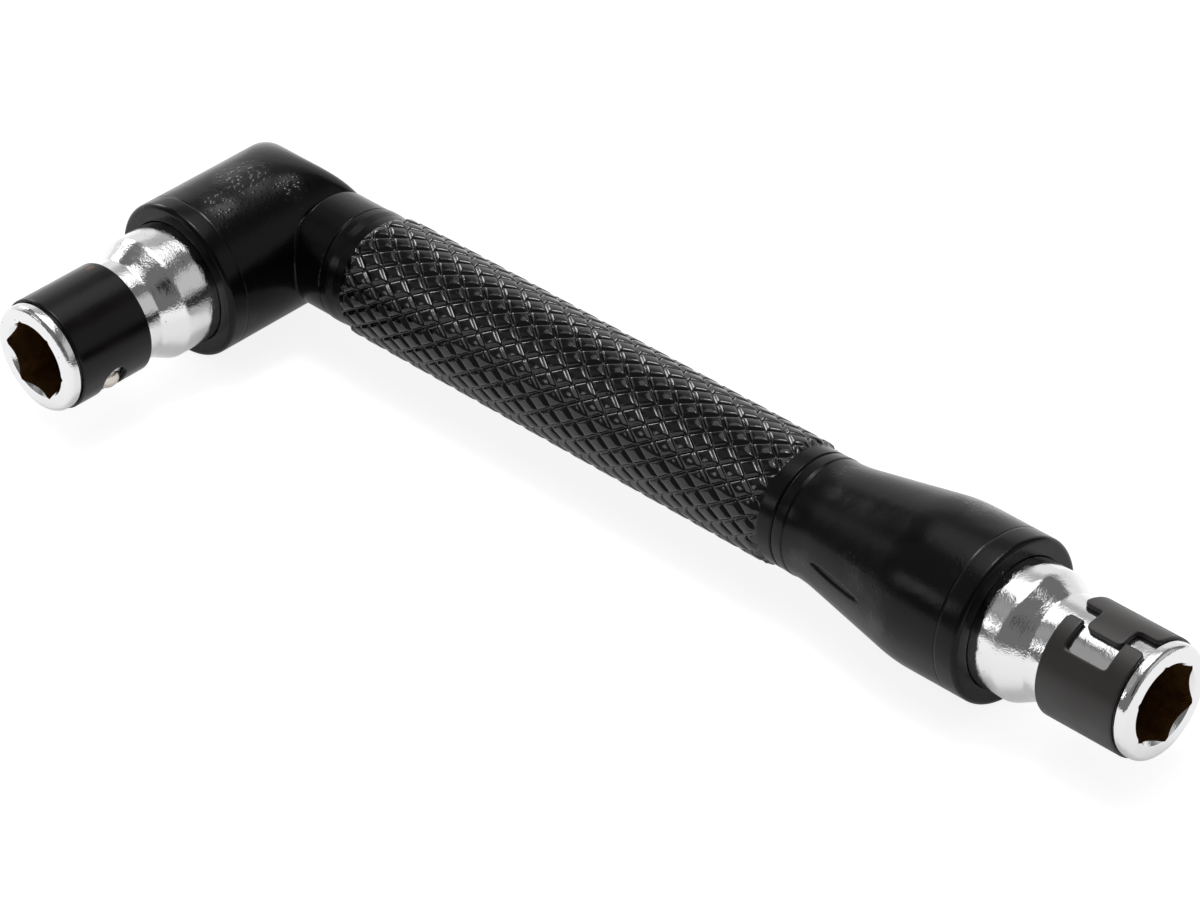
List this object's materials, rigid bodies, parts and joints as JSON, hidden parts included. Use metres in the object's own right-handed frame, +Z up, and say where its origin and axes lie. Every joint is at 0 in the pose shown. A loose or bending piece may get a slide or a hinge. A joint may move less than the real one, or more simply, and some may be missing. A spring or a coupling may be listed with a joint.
{
  "type": "offset screwdriver",
  "caption": "Right-angled offset screwdriver with a knurled grip and a spring-held hexagonal bit socket at each end.",
  "frame": {"origin": "under the middle of the tool, level with the lowest line of the head and of the tail housing", "axes": "+X along the long leg towards the tail socket, -Y along the short leg towards the head socket, +Z up, square to the plane of both legs"},
  "size_m": [0.108, 0.036, 0.0145],
  "materials": {
    "black_paint": "satin black paint on a die casting",
    "chrome": "bright chrome plate",
    "black_steel": "black-oxide spring steel, satin",
    "ball_steel": "polished bearing steel"
  },
  "bodies": {
    "tool": {"handle": "black_paint", "head_socket": "chrome", "tail_socket": "chrome", "head_sleeve": "black_steel", "tail_sleeve": "black_steel"},
    "head_detent": {"head_ball": "ball_steel"},
    "tail_detent": {"tail_ball": "ball_steel"}
  },
  "joints": [
    {"name": "head_ball_lift", "type": "slide", "parent": "tool", "child": "head_detent", "axis": [0.8059, 0, -0.592], "range_m": [0, 0.00035], "stiffness_N_per_m": 2000, "deforming": ["head_sleeve"]},
    {"name": "tail_ball_lift", "type": "slide", "parent": "tool", "child": "tail_detent", "axis": [0, -0.4726, -0.8813], "range_m": [0, 0.00035], "stiffness_N_per_m": 2000, "deforming": ["tail_sleeve"]}
  ]
}
